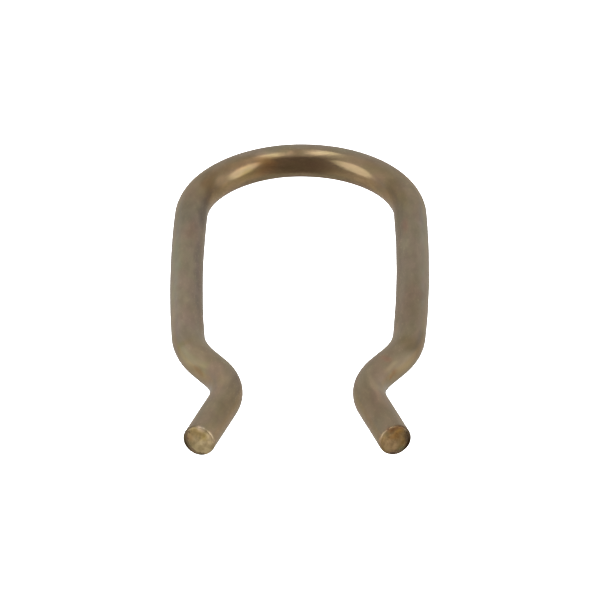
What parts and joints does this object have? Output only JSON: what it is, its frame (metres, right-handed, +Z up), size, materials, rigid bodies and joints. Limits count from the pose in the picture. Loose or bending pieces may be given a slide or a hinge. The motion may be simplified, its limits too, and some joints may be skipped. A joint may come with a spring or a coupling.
{
  "type": "wire fixing clip",
  "caption": "Sprung wire clip bent from round wire: a round arch, bowed legs, knees that turn in to a narrow throat, and straight tips that flare out at the open mouth.",
  "frame": {"origin": "on the axis of the round arch, at the flat surface that the clip lies on", "axes": "+Y from the open mouth towards the arch, +Z up out of the clip's plane, +X to the right with the mouth towards the viewer"},
  "size_m": [0.0154, 0.0329, 0.002],
  "materials": {
    "wire": "drawn wire, dulled to a brown bronze, brighter on the sheared ends"
  },
  "bodies": {
    "root": {"clip_wire": "wire"}
  },
  "joints": []
}
